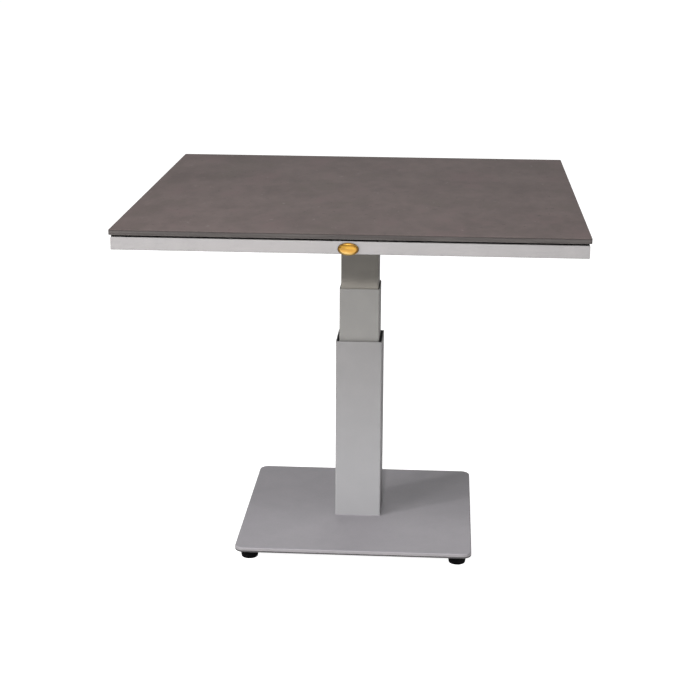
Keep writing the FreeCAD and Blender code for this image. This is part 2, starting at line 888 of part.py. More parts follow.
def badge():
    """A blank oval plate on an adhesive layer, in the middle of the front rail."""
    front = "frame_side / 2"
    level = f"{PLATE_TOP} - badge_drop + badge_height / 2"
    adhesive = oval_plate(
        "badge_adhesive", "adhesive_length", "adhesive_height", "adhesive_thickness"
    )
    place(adhesive, y=f"-{front}", z=level)
    keep(adhesive, "badge_adhesive")
    plate = oval_plate("badge_plate", "badge_length", "badge_height", "badge_thickness")
    doc.recompute()
    face_y = -value("badge_thickness")
    rim_numbers = [
        number
        for number, edge in enumerate(plate.Shape.Edges, start=1)
        if abs(edge.BoundBox.YMin - face_y) < 1e-6 and edge.BoundBox.YLength < 1e-6
    ]
    rounded = doc.addObject("Part::Fillet", "badge_plate")
    rounded.Base = plate
    rounded.Edges = [(number, value("badge_edge"), value("badge_edge")) for number in rim_numbers]
    place(rounded, y=f"-{front} - adhesive_thickness", z=level)
    keep(rounded, "badge_plate")


# ---------------------------------------------------------------- release lever
def release_lever():
    """A cranked bar whose round nose presses the release pin when its far end is lifted."""
    body = new_body("release_lever")
    half = "lever_thickness / 2"
    crank = "lever_drop * 1.3"
    low = f"-lever_drop - {half}"
    high = f"-lever_drop + {half}"
    sketch = sketch_on(body, "XZ_Plane")
    outline = [
        (None, f"-{half}"),
        ("lever_bend", f"-{half}"),
        (f"lever_bend + {crank}", low),
        ("lever_end", low),
        ("lever_end", high),
        (f"lever_bend + {crank} + {half}", high),
        (f"lever_bend + {half}", half),
        (None, half),
    ]
    add_polygon(sketch, "bar", outline)
    feature = add_pad(body, sketch, "lever_width", symmetric=True)
    doc.recompute()
    bend_start = value("lever_bend") - 1
    bend_end = value(f"lever_bend + {crank} + lever_thickness")

    def at_bend(edge):
        return along_y(edge) and bend_start < edge.BoundBox.XMin < bend_end

    add_fillet(body, feature, "lever_round", at_bend)
    bosses = sketch_on(body, "XZ_Plane")
    add_circle(bosses, "nose", "lever_thickness")
    add_circle(bosses, "hub", "hub_diameter", "pivot_offset")
    add_pad(body, bosses, "lever_width", symmetric=True)
    bore = sketch_on(body, "XZ_Plane")
    add_circle(bore, "bore", "pivot_diameter + 2 * pivot_clearance", "pivot_offset")
    add_pocket(body, bore, symmetric=True)
    place(body, z=LEVER_AXIS)
    keep(body, "release_lever")


def lever_grip():
    """The plastic grip pushed over the lever's end."""
    body = new_body("lever_grip")
    sketch = sketch_on(body, "YZ_Plane")
    add_rectangle(sketch, "grip", "grip_width", "grip_height", "grip_corner")
    feature = add_pad(body, sketch, "grip_end - grip_start")
    doc.recompute()
    end = value("grip_end - grip_start")

    def at_end(edge):
        return edge.BoundBox.XLength < 1e-6 and abs(edge.BoundBox.XMin - end) < 1e-6

    add_fillet(body, feature, "grip_edge", at_end)
    slot = sketch_on(body, "YZ_Plane")
    half_width = "lever_width / 2"
    half = "lever_thickness / 2"
    corners = [
        (f"-{half_width}", f"-{half}"),
        (half_width, f"-{half}"),
        (half_width, half),
        (f"-{half_width}", half),
    ]
    add_polygon(slot, "slot", corners)
    add_pocket(body, slot, "lever_end - grip_start", upward=True)
    place(body, x="grip_start", z=f"{LEVER_AXIS} - lever_drop")
    keep(body, "lever_grip")


def lever_bracket():
    """The U-shaped bracket on the top plate that holds the lever's pin."""
    body = new_body("lever_bracket")
    inner = "bracket_inside / 2"
    outer = f"({inner} + bracket_wall)"
    sketch = sketch_on(body, "YZ_Plane")
    outline = [
        (f"-{outer}", None),
        (outer, None),
        (outer, "bracket_ear"),
        (inner, "bracket_ear"),
        (inner, "bracket_wall"),
        (f"-{inner}", "bracket_wall"),
        (f"-{inner}", "bracket_ear"),
        (f"-{outer}", "bracket_ear"),
    ]
    add_polygon(sketch, "channel", outline)
    feature = add_pad(body, sketch, "bracket_length", symmetric=True)
    doc.recompute()
    ear = value("bracket_ear")

    def at_ear_corner(edge):
        return along_y(edge) and abs(edge.BoundBox.ZMin - ear) < 1e-6

    add_fillet(body, feature, "bracket_round", at_ear_corner)
    bore = sketch_on(body, "XZ_Plane")
    add_circle(bore, "pin", "pivot_diameter", None, f"{LEVER_AXIS} - ({PLATE_TOP})")
    add_pocket(body, bore, symmetric=True)
    threads = sketch_on(body)
    for number, sign in enumerate(("-", "")):
        diameter = "bracket_screw + 2 * stud_clearance"
        add_circle(threads, f"thread_{number}", diameter, f"{sign}bracket_screw_offset")
    add_pocket(body, threads, "bracket_wall", upward=True)
    place(body, x="pivot_offset", z=PLATE_TOP)
    keep(body, "lever_bracket")


def bracket_fasteners():
    """Two screws that hold the bracket, up through the top plate."""
    screw = socket_screw_model(
        "bracket_screw_model",
        "bracket_screw",
        "plate_thickness + bracket_wall",
        "bracket_screw_head",
        "bracket_screw_head_height",
    )
    copies("bracket_screws", screw, bracket_screw_places(), PLATE_UNDERSIDE)


def pivot_pin():
    """The lever's pin, with a head at one end and a clip in a groove at the other."""
    outer = "(bracket_inside / 2 + bracket_wall)"
    shank = "pivot_diameter / 2"
    groove = "groove_diameter / 2"
    groove_start = f"{outer} + clip_gap"
    groove_end = f"{groove_start} + clip_thickness + 0.1"
    pin = turned_piece(
        "pivot_pin",
        [
            (None, f"-{outer} - pivot_head_height"),
            ("pivot_head / 2", f"-{outer} - pivot_head_height"),
            ("pivot_head / 2", f"-{outer}"),
            (shank, f"-{outer}"),
            (shank, groove_start),
            (groove, groove_start),
            (groove, groove_end),
            (shank, groove_end),
            (shank, f"{outer} + pivot_tail"),
            (None, f"{outer} + pivot_tail"),
        ],
    )
    place(pin, x="pivot_offset", z=LEVER_AXIS, turn=-90, about=(1, 0, 0))
    clip = new_body("pivot_clip")
    sketch = sketch_on(clip, "XZ_Plane")
    add_circle(sketch, "rim", "clip_diameter")
    add_circle(sketch, "hole", "groove_diameter")
    feature = add_pad(clip, sketch, "clip_thickness")
    feature.Reversed = True
    mouth = sketch_on(clip, "XZ_Plane")
    half = "clip_mouth / 2"
    corners = [(f"-{half}", "-clip_diameter"), (half, "-clip_diameter"), (half, None), (f"-{half}", None)]
    add_polygon(mouth, "mouth", corners)
    add_pocket(clip, mouth, upward=False)
    place(clip, x="pivot_offset", y=groove_start, z=LEVER_AXIS)
    keep(clip, "pivot_clip")


def lever_stop():
    """The rubber bumper that the resting lever lies on."""
    height = f"{LEVER_AXIS} - lever_thickness / 2 - stop_gap - ({PLATE_TOP})"
    stop = doc.addObject("Part::Cone", "lever_stop")
    bind(stop, Radius1="stop_diameter / 2", Radius2="stop_tip / 2", Height=height)
    place(stop, x="stop_offset", z=PLATE_TOP)
    keep(stop, "lever_stop")


# ---------------------------------------------------------------- making, checking, writing
base_plate()
column_flange()
base_fasteners()
levelling_feet()
column_tubes()
column_guides()
column_welds()
gas_spring()
frame_rails()
cross_bars()
top_plate()
plate_fasteners()
slab_pads()
table_top()
badge()
release_lever()
lever_grip()
lever_bracket()
bracket_fasteners()
pivot_pin()
lever_stop()
doc.recompute()

for item in doc.Objects:
    if "Invalid" in item.State or "Error" in item.State:
        raise RuntimeError(f"{item.Name} did not compute: {item.State}")
for item in sub_parts:
    if item.Shape.isNull() or not item.Shape.isValid() or not item.Shape.Solids:
        raise RuntimeError(f"{item.Label} has no valid solid")

os.makedirs("parts", exist_ok=True)
for item in sub_parts:
    item.Shape.exportStep(f"parts/{item.Label}.step")
    box = item.Shape.BoundBox
    print(
        f"{item.Label:24s} solids {len(item.Shape.Solids):2d} volume {item.Shape.Volume / 1000:9.2f} cm3"
        f" x {box.XMin:7.1f} {box.XMax:7.1f} y {box.YMin:7.1f} {box.YMax:7.1f}"
        f" z {box.ZMin:7.1f} {box.ZMax:7.1f}"
    )
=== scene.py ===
import json
import math

import bmesh
import bpy
from mathutils import Matrix, Vector


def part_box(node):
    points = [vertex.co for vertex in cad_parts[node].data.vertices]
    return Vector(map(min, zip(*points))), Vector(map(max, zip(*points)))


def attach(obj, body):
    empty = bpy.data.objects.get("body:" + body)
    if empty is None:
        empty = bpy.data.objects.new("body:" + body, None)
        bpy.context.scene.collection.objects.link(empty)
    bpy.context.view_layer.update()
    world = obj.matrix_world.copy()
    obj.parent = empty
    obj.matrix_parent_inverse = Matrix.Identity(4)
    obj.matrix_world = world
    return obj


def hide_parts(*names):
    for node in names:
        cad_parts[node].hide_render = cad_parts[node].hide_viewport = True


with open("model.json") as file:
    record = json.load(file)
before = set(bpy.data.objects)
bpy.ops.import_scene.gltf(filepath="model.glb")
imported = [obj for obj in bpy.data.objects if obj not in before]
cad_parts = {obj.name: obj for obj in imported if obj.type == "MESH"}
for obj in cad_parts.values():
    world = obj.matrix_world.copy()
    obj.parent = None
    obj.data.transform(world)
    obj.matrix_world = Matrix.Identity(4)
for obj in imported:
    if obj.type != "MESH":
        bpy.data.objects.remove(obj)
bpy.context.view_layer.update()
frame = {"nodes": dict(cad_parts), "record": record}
print("frame loaded:", len(frame["nodes"]), "nodes")


class Wire:
    # one output of a shader node, so that shader sums read as plain sums
    def __init__(self, shading, socket):
        self.shading = shading
        self.socket = socket

    def reckon(self, operation, first, second):
        return self.shading.node("ShaderNodeMath", {"operation": operation}, {0: first, 1: second})

    def __add__(self, other):
        return self.reckon("ADD", self, other)

    def __radd__(self, other):
        return self.reckon("ADD", other, self)

    def __sub__(self, other):
        return self.reckon("SUBTRACT", self, other)

    def __rsub__(self, other):
        return self.reckon("SUBTRACT", other, self)

    def __mul__(self, other):
        return self.reckon("MULTIPLY", self, other)

    def __rmul__(self, other):
        return self.reckon("MULTIPLY", other, self)

    def __truediv__(self, other):
        return self.reckon("DIVIDE", self, other)

    def __rtruediv__(self, other):
        return self.reckon("DIVIDE", other, self)

    def __pow__(self, other):
        return self.reckon("POWER", self, other)

    def __rpow__(self, other):
        return self.reckon("POWER", other, self)

    def __abs__(self):
        return self.reckon("ABSOLUTE", self, 0)


class Shading:
    # the node tree of a material or of the world
    def __init__(self, owner):
        owner.use_nodes = True
        self.tree = owner.node_tree

    def node(self, kind, settings, sockets, output=0):
        made = self.tree.nodes.new(kind)
        for name, value in settings.items():
            setattr(made, name, value)
        self.plug(made, sockets)
        return Wire(self, made.outputs[output])

    def plug(self, node, sockets):
        # each socket gets a link or a plain value
        for name, value in sockets.items():
            if isinstance(value, Wire):
                self.tree.links.new(value.socket, node.inputs[name])
            else:
                node.inputs[name].default_value = value


class Paint(Shading):
    # one material, built up in front of its Principled shader
    def __init__(self, name, constants):
        self.material = bpy.data.materials.new(name)
        super().__init__(self.material)
        self.shader = self.tree.nodes["Principled BSDF"]
        self.plug(self.shader, constants)
        self.place = self.node("ShaderNodeTexCoord", {}, {}, "Object")

    def noise(self, scale, detail=3, roughness=0.5, stretch=(1, 1, 1)):
        place = self.node("ShaderNodeMapping", {}, {"Vector": self.place, "Scale": stretch})
        sockets = {"Vector": place, "Scale": scale, "Detail": detail, "Roughness": roughness}
        return self.node("ShaderNodeTexNoise", {}, sockets)

    def axis(self, name):
        return self.node("ShaderNodeSeparateXYZ", {}, {"Vector": self.place}, name)

    def sine(self, angle):
        return self.node("ShaderNodeMath", {"operation": "SINE"}, {0: angle})

    def wave(self, name, pitch):
        # -1 to 1 and back over each pitch along an axis
        return self.sine(self.axis(name) * (2 * math.pi / pitch))

    def larger(self, first, second):
        return self.node("ShaderNodeMath", {"operation": "MAXIMUM"}, {0: first, 1: second})

    def span(self, value, low, high):
        # 0 up to low and 1 from high on, or the other way round where low is the larger
        sockets = {"Value": value, "From Min": low, "From Max": high}
        return self.node("ShaderNodeMapRange", {"interpolation_type": "SMOOTHSTEP"}, sockets)

    def blend(self, share, first, second):
        # a Mix node takes its colours at inputs 6 and 7 and gives their blend at output 2
        return self.node("ShaderNodeMix", {"data_type": "RGBA"}, {0: share, 6: first, 7: second}, 2)

    def lay(self, shade, pattern, spots):
        # another colour where the pattern is strong
        mask = self.span(pattern, *spots["span"])
        if "share" in spots:
            mask = mask * spots["share"]
        return self.blend(mask, shade, spots["colour"])

    def tint(self, shade, tone):
        return self.node("ShaderNodeVectorMath", {"operation": "MULTIPLY"}, {0: shade, 1: tone})

    def feed(self, socket, wire):
        self.plug(self.shader, {socket: wire})

    def bump(self, height, distance, strength):
        sockets = {"Height": height, "Distance": distance, "Strength": strength}
        self.feed("Normal", self.node("ShaderNodeBump", {}, sockets))


def rgb(red, green, blue):
    return (red, green, blue, 1.0)


# grey powder coat, with lengths in metres and dull as the shader's roughness
coatLook = {
    "light": rgb(1.02, 1.0, 0.995),
    "dark": rgb(0.93, 0.915, 0.915),
    "fleck": {"colour": rgb(0.80, 0.79, 0.79), "span": (0.60, 0.72), "share": 0.6},
    "cloud": {"scale": 2.6, "detail": 4, "roughness": 0.55},
    "stain": {"scale": 24, "detail": 4, "roughness": 0.55},
    "peel": {"scale": 320, "detail": 2},
    "grain": {"scale": 1100, "detail": 2},
    "cloudShare": 0.6,
    "stainShare": 0.4,
    "lightSpan": (0.36, 0.64),
    "specular": 0.4,
    "dull": 0.38,
    "dullByPeel": 0.16,
    "dullByCloud": 0.06,
    "peelHeight": 0.7,
    "grainHeight": 0.3,
    "relief": {"distance": 0.00007, "strength": 0.6},
    # painted light at the column's foot: its colour, the heights where it fades in, and how its edge wanders
    "footLightColour": rgb(0.288, 0.2875, 0.298),
    "footLightLevel": (0.46, 0.04),  # none above the first, full below the second
    "footLightWander": 0.06,
    "skin": (0.0001, 0.0003),  # depths between which the finish changes at a face
    # near black for a tube's bore: bare steel with painted shade
    "bareAndShade": rgb(0.012, 0.012, 0.013),
    # painted shade on the rails' top faces under the slab
    "underSlabShade": rgb(0.006, 0.006, 0.007),
    # painted shade on the base plate's cut edge
    "edgeShade": (0.86, 0.85, 0.83),
    "edgeShadeBelow": (0.002, 0.0006),  # depths under the plate's top, full and none
    # painted shadow along the base plate's foot
    "primer": rgb(0.036, 0.034, 0.035),
    "primerHeight": (0.0040, 0.0047),  # heights over its foot, full and none
    "primerWander": 0.0016,
}
# tone scales the coat's colours; the groups share one coat, and their tones differ as painted light and
# shade, for how much light each group catches. The other words are what a group of parts has besides
coats = {
    "frame": {"tone": (0.178, 0.174, 0.174), "shadedRail": "rail_front"},
    "column": {"tone": (0.158, 0.1565, 0.157), "tube": "outer_tube", "wall": 0.002, "footLightShare": 0.5},
    "middle": {"tone": (0.152, 0.1505, 0.1445), "tube": "middle_tube", "wall": 0.0015},
    "inner": {"tone": (0.149, 0.1405, 0.1235), "tube": "inner_tube", "wall": 0.0015},
    "base": {"tone": (0.193, 0.188, 0.201), "plate": "base_plate"},
}


def paintedFootLight(paint, shade, cloud, footLightShare):
    # painted light: the coat paler towards the floor, where light bounces up from the base plate
    level = paint.axis("Z") + cloud * coatLook["footLightWander"]
    return paint.blend(paint.span(level, *coatLook["footLightLevel"]) * footLightShare, shade, coatLook["footLightColour"])


def bareAndShadedBore(paint, shade, tubeNode, wall):
    # bare steel inside the tube, painted near black as shade
    near, far = coatLook["skin"]
    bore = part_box(tubeNode)[1].x - wall
    reach = paint.larger(abs(paint.axis("X")), abs(paint.axis("Y")))
    return paint.blend(paint.span(reach, bore + near, bore + far), coatLook["bareAndShade"], shade)


def paintShadeUnderSlab(paint, shade, railNode):
    # painted shade: the rails' top faces under the slab made near black
    near, far = coatLook["skin"]
    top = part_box(railNode)[1].z
    return paint.blend(paint.span(paint.axis("Z"), top - far, top - near), shade, coatLook["underSlabShade"])


def paintPlateShade(paint, shade, stain, plateNode):
    # painted shade on the plate's cut edge, and a painted shadow along its foot
    low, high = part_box(plateNode)
    edgeShadeFull, edgeShadeNone = coatLook["edgeShadeBelow"]
    primerFull, primerNone = coatLook["primerHeight"]
    edgeShade = paint.tint(shade, coatLook["edgeShade"])
    shade = paint.blend(paint.span(paint.axis("Z"), high.z - edgeShadeFull, high.z - edgeShadeNone), edgeShade, shade)
    level = paint.axis("Z") + stain * coatLook["primerWander"]
    plateShadowMask = paint.span(level, low.z + primerFull, low.z + primerNone)
    return paint.blend(plateShadowMask, coatLook["primer"], shade)


def greyPowderCoat(name, coat):
    paint = Paint(name, {"Specular IOR Level": coatLook["specular"]})
    cloud = paint.noise(**coatLook["cloud"])
    stain = paint.noise(**coatLook["stain"])
    peel = paint.noise(**coatLook["peel"])
    grain = paint.noise(**coatLook["grain"])
    drift = cloud * coatLook["cloudShare"] + stain * coatLook["stainShare"]
    shade = paint.blend(paint.span(drift, *coatLook["lightSpan"]), coatLook["dark"], coatLook["light"])
    shade = paint.lay(shade, grain, coatLook["fleck"])
    shade = paint.tint(shade, coat["tone"])
    if "footLightShare" in coat:
        shade = paintedFootLight(paint, shade, cloud, coat["footLightShare"])
    if "tube" in coat:
        shade = bareAndShadedBore(paint, shade, coat["tube"], coat["wall"])
    if "shadedRail" in coat:
        shade = paintShadeUnderSlab(paint, shade, coat["shadedRail"])
    if "plate" in coat:
        shade = paintPlateShade(paint, shade, stain, coat["plate"])
    paint.feed("Base Color", shade)
    dull = coatLook["dull"] + peel * coatLook["dullByPeel"] + cloud * coatLook["dullByCloud"]
    paint.feed("Roughness", dull)
    height = peel * coatLook["peelHeight"] + grain * coatLook["grainHeight"]
    paint.bump(height, **coatLook["relief"])
    return paint.material


def stoneSlab():
    # honed stone above, sawn round the edge, with glued backing cloth below; the edge is darker partly as
    # the sawn body's own colour and partly as painted shade, and its arris line is painted shade
    look = {
        "deep": rgb(0.0661, 0.0500, 0.0474),
        "pale": rgb(0.0934, 0.0713, 0.0677),
        "rosy": {"colour": rgb(0.0876, 0.0599, 0.0597), "span": (0.54, 0.68), "share": 0.5},
        "mossy": {"colour": rgb(0.0758, 0.0624, 0.0542), "span": (0.46, 0.33), "share": 0.4},
        "fleck": {"colour": rgb(0.150, 0.128, 0.121), "span": (0.66, 0.76), "share": 0.45},
        "pit": {"colour": rgb(0.040, 0.0310, 0.0300), "span": (0.69, 0.73), "share": 0.7},
        "clouds": {"scale": 5, "detail": 5, "roughness": 0.6},
        "tint": {"scale": 11, "detail": 4, "roughness": 0.6},
        "patches": {"scale": 22, "detail": 4, "roughness": 0.6},
        "mottle": {"scale": 48, "detail": 5, "roughness": 0.62},
        "flecks": {"scale": 62, "detail": 3, "roughness": 0.6},
        "pits": {"scale": 95, "detail": 2, "roughness": 0.5},
        "grain": {"scale": 420, "detail": 3},
        "drag": (1.0, 0.5, 1.0),  # the figure runs twice as long from front to back
        "cloudWeight": 1.7,
        "patchWeight": 1.9,
        "mottleWeight": 1.6,
        "grainWeight": 0.4,
        "deepness": 2.3,  # more of it turns pale stone deep
        # core, sawn and arris colour the edge: its own darker body, with painted shade over it and a
        # painted-shade line along the arris
        "core": rgb(0.0335, 0.0295, 0.0285),
        "sawn": {"colour": rgb(0.0500, 0.0450, 0.0430), "span": (0.32, 0.68)},
        "streaks": {"scale": 330, "detail": 4, "roughness": 0.6, "stretch": (0.03, 0.03, 1.0)},
        "arris": rgb(0.0300, 0.0255, 0.0250),
        "glue": rgb(0.25, 0.235, 0.21),
        "thread": {"colour": rgb(0.34, 0.325, 0.30), "span": (0.75, 0.97), "share": 0.6},
        "threadPitch": 0.006,
        "arrisDepth": (0.0026, 0.0018),
        "faceDepth": (0.0006, 0.0001),
        "backHeight": (0.0001, 0.0004),
        "specular": 0.2,
        "dull": 0.54,
        "dullByMottle": 0.12,
        "dullByGrain": 0.08,
        "grainHeight": 0.5,
        "mottleHeight": 0.35,
        "relief": {"distance": 0.00006, "strength": 0.5},
    }
    low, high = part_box("table_top")
    paint = Paint("stoneSlab", {"Specular IOR Level": look["specular"]})
    clouds = paint.noise(**look["clouds"])
    tint = paint.noise(stretch=look["drag"], **look["tint"])
    patches = paint.noise(stretch=look["drag"], **look["patches"])
    mottle = paint.noise(stretch=look["drag"], **look["mottle"])
    flecks = paint.noise(stretch=look["drag"], **look["flecks"])
    pits = paint.noise(**look["pits"])
    grain = paint.noise(**look["grain"])
    share = clouds * look["cloudWeight"] + patches * look["patchWeight"]
    share = share + mottle * look["mottleWeight"] + grain * look["grainWeight"] - look["deepness"]
    stone = paint.blend(share, look["deep"], look["pale"])
    stone = paint.lay(stone, tint, look["rosy"])
    stone = paint.lay(stone, tint, look["mossy"])
    stone = paint.lay(stone, flecks, look["fleck"])
    stone = paint.lay(stone, pits, look["pit"])
    level = paint.axis("Z")
    arris = paint.span(level, *[high.z - depth for depth in look["arrisDepth"]])
    face = paint.span(level, *[high.z - depth for depth in look["faceDepth"]])
    above = paint.span(level, *[low.z + rise for rise in look["backHeight"]])
    edge = paint.lay(look["core"], paint.noise(**look["streaks"]), look["sawn"])
    edge = paint.blend(arris, edge, look["arris"])
    threads = paint.larger(paint.wave("X", look["threadPitch"]), paint.wave("Y", look["threadPitch"]))
    back = paint.lay(look["glue"], threads, look["thread"])
    sides = paint.blend(above, back, edge)
    paint.feed("Base Color", paint.blend(face, sides, stone))
    paint.feed("Roughness", look["dull"] + mottle * look["dullByMottle"] + grain * look["dullByGrain"])
    height = grain * look["grainHeight"] + mottle * look["mottleHeight"]
    paint.bump(height - paint.span(pits, *look["pit"]["span"]), **look["relief"])
    return paint.material


def blackRubber():
    look = {
        "black": rgb(0.0016, 0.0016, 0.0018),
        "dusty": {"colour": rgb(0.0048, 0.0045, 0.0048), "span": (0.42, 0.75)},
        "dust": {"scale": 60, "detail": 5, "roughness": 0.65},
        "pore": {"scale": 900, "detail": 3},
        "specular": 0.05,
        "dull": 0.68,
        "dullByDust": 0.2,
        "poreHeight": 0.6,
        "dustHeight": 0.4,
        "relief": {"distance": 0.00012, "strength": 0.5},
    }
    paint = Paint("blackRubber", {"Specular IOR Level": look["specular"]})
    dust = paint.noise(**look["dust"])
    pore = paint.noise(**look["pore"])
    paint.feed("Base Color", paint.lay(look["black"], dust, look["dusty"]))
    paint.feed("Roughness", look["dull"] + dust * look["dullByDust"])
    paint.bump(pore * look["poreHeight"] + dust * look["dustHeight"], **look["relief"])
    return paint.material


def blackPlastic(name, specular):
    look = {
        "black": rgb(0.005, 0.005, 0.006),
        "rubbed": {"colour": rgb(0.014, 0.014, 0.016), "span": (0.5, 0.8)},
        "spark": {"scale": 1500, "detail": 2},
        "smear": {"scale": 24, "detail": 4, "roughness": 0.6},
        "dull": 0.42,
        "dullBySmear": 0.2,
        "dullBySpark": 0.08,
        "relief": {"distance": 0.00008, "strength": 0.6},
    }
    paint = Paint(name, {"Specular IOR Level": specular})
    spark = paint.noise(**look["spark"])
    smear = paint.noise(**look["smear"])
    paint.feed("Base Color", paint.lay(look["black"], smear, look["rubbed"]))
    paint.feed("Roughness", look["dull"] + smear * look["dullBySmear"] + spark * look["dullBySpark"])
    paint.bump(spark, **look["relief"])
    return paint.material


def blackCoat():
    look = {
        "black": rgb(0.014, 0.014, 0.015),
        "worn": {"colour": rgb(0.035, 0.034, 0.033), "span": (0.45, 0.75)},
        "peel": {"scale": 300, "detail": 3},
        "streak": {"scale": 9, "detail": 4, "roughness": 0.6, "stretch": (1, 1, 0.2)},
        "specular": 0.5,
        "dull": 0.28,
        "dullByPeel": 0.16,
        "relief": {"distance": 0.00004, "strength": 0.5},
    }
    paint = Paint("blackCoat", {"Specular IOR Level": look["specular"]})
    peel = paint.noise(**look["peel"])
    streak = paint.noise(**look["streak"])
    paint.feed("Base Color", paint.lay(look["black"], streak, look["worn"]))
    paint.feed("Roughness", look["dull"] + peel * look["dullByPeel"])
    paint.bump(peel, **look["relief"])
    return paint.material


def zincSteel():
    look = {
        "blue": rgb(0.56, 0.59, 0.62),
        "straw": {"colour": rgb(0.66, 0.63, 0.55), "span": (0.38, 0.62)},
        "grey": {"colour": rgb(0.42, 0.42, 0.41), "span": (0.55, 0.72), "share": 0.45},
        "tint": {"scale": 34, "detail": 4, "roughness": 0.6},
        "crystal": {"scale": 700, "detail": 3},
        "dull": 0.3,
        "dullByCrystal": 0.14,
        "dullByTint": 0.08,
        "relief": {"distance": 0.00003, "strength": 0.5},
    }
    paint = Paint("zincSteel", {"Metallic": 1.0})
    tint = paint.noise(**look["tint"])
    crystal = paint.noise(**look["crystal"])
    plate = paint.lay(look["blue"], tint, look["straw"])
    paint.feed("Base Color", paint.lay(plate, crystal, look["grey"]))
    paint.feed("Roughness", look["dull"] + crystal * look["dullByCrystal"] + tint * look["dullByTint"])
    paint.bump(crystal, **look["relief"])
    return paint.material


def chromeRod():
    look = {
        "bright": rgb(0.72, 0.73, 0.74),
        "ground": rgb(0.6, 0.61, 0.62),
        "rings": 9000,  # radians of the ring wave in a metre
        "drift": {"scale": 40, "detail": 3},
        "dull": 0.07,
        "dullByDrift": 0.08,
        "dullByMark": 0.03,
        "relief": {"distance": 0.00001, "strength": 0.4},
    }
    paint = Paint("chromeRod", {"Metallic": 1.0})
    drift = paint.noise(**look["drift"])
    mark = paint.sine(paint.axis("Z") * look["rings"]) * 0.5 + 0.5  # 0 to 1 on each grinding ring
    paint.feed("Base Color", paint.blend(mark * drift, look["bright"], look["ground"]))
    paint.feed("Roughness", look["dull"] + drift * look["dullByDrift"] + mark * look["dullByMark"])
    paint.bump(mark, **look["relief"])
    return paint.material


def goldBadge():
    # spans of field, groove and skirt are shares of the oval's reach from its middle
    look = {
        # pale, gold, amber and crown are painted reflection laid along the sheen
        "pale": rgb(0.66, 0.455, 0.165),
        "gold": {"colour": rgb(0.44, 0.238, 0.052), "span": (-0.8, -0.35)},
        "amber": {"colour": rgb(0.50, 0.280, 0.062), "span": (0.25, 0.9), "share": 0.85},
        "crown": rgb(0.92, 0.500, 0.085),
        "crownSpan": (-0.1, 0.4),
        "fieldEnd": (0.72, 0.80),
        "bronze": rgb(0.045, 0.022, 0.010),
        "grooveStart": (0.79, 0.84),
        "grooveEnd": (0.85, 0.90),
        "grooveShare": 0.8,
        "skirt": (0.89, 0.95),
        "skirtShare": 0.9,
        "lean": 0.2,
        "softness": 0.3,
        "shift": 0.15,
        "brush": {"scale": 900, "detail": 3, "stretch": (0.08, 1, 1)},
        "soft": {"scale": 140, "detail": 4, "roughness": 0.6},
        "dull": 0.24,
        "dullByBrush": 0.14,
        "dullByGroove": 0.25,
        "relief": {"distance": 0.00002, "strength": 0.35},
    }
    low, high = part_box("badge_plate")
    centre = (low + high) / 2
    half = (high - low) / 2
    paint = Paint("goldBadge", {"Metallic": 1.0})
    across = (paint.axis("X") - centre.x) / half.x
    upward = (paint.axis("Z") - centre.z) / half.z
    reach = (across * across + upward * upward) ** 0.5
    brush = paint.noise(**look["brush"])
    soft = paint.noise(**look["soft"])
    # sheen runs from about -1 at the badge's foot to 1 at its top; the colours along it are painted
    # reflection, pale at the foot and amber with a bright crown above
    sheen = upward + across * look["lean"] + soft * look["softness"] - look["shift"]
    field = 1 - paint.span(reach, *look["fieldEnd"])
    groove = paint.span(reach, *look["grooveStart"]) * (1 - paint.span(reach, *look["grooveEnd"]))
    skirt = paint.span(reach, *look["skirt"])
    gold = paint.lay(look["pale"], sheen, look["gold"])
    gold = paint.lay(gold, sheen, look["amber"])
    gold = paint.blend(paint.span(sheen, *look["crownSpan"]) * field, gold, look["crown"])
    # painted shade: the groove darkened towards bronze
    gold = paint.blend(groove * look["grooveShare"], gold, look["bronze"])
    gold = paint.blend(skirt * look["skirtShare"], gold, look["bronze"])
    paint.feed("Base Color", gold)
    paint.feed("Roughness", look["dull"] + brush * look["dullByBrush"] + groove * look["dullByGroove"])
    paint.bump(brush, **look["relief"])
    return paint.material


def foamTape():
    look = {
        "foam": rgb(0.05, 0.05, 0.052),
        "wall": {"colour": rgb(0.09, 0.09, 0.092), "span": (0.4, 0.65)},
        "cell": {"scale": 1600, "detail": 3},
        "specular": 0.2,
        "dull": 0.8,
        "dullByCell": 0.15,
        "relief": {"distance": 0.0001, "strength": 0.6},
    }
    paint = Paint("foamTape", {"Specular IOR Level": look["specular"]})
    cell = paint.noise(**look["cell"])
    paint.feed("Base Color", paint.lay(look["foam"], cell, look["wall"]))
    paint.feed("Roughness", look["dull"] + cell * look["dullByCell"])
    paint.bump(cell, **look["relief"])
    return paint.material


plasticSpecular = {"moulded": 0.2, "guide": 0.03}
finishes = {
    "grey_coat_frame": greyPowderCoat("greyCoatFrame", coats["frame"]),
    "grey_coat_column": greyPowderCoat("greyCoatColumn", coats["column"]),
    "grey_coat_middle": greyPowderCoat("greyCoatMiddle", coats["middle"]),
    "grey_coat_inner": greyPowderCoat("greyCoatInner", coats["inner"]),
    "grey_coat_base": greyPowderCoat("greyCoatBase", coats["base"]),
    "stone_slab": stoneSlab(),
    "black_rubber": blackRubber(),
    "black_plastic": blackPlastic("blackPlastic", plasticSpecular["moulded"]),
    "guide_plastic": blackPlastic("guidePlastic", plasticSpecular["guide"]),
    "black_coat": blackCoat(),
    "zinc_steel": zincSteel(),
    "chrome_rod": chromeRod(),
    "gold_badge": goldBadge(),
    "adhesive": foamTape(),
}
for part in frame["record"]["subparts"]:
    for slot in frame["nodes"][part["node"]].material_slots:
        slot.material = finishes[part["material_slot"]]
print("finishes made:", len(finishes))


meshRules = {
    "faceOn": 0.99,  # a face looks along a direction when its normal goes this far along it
    "smoothAngle": 30,
}


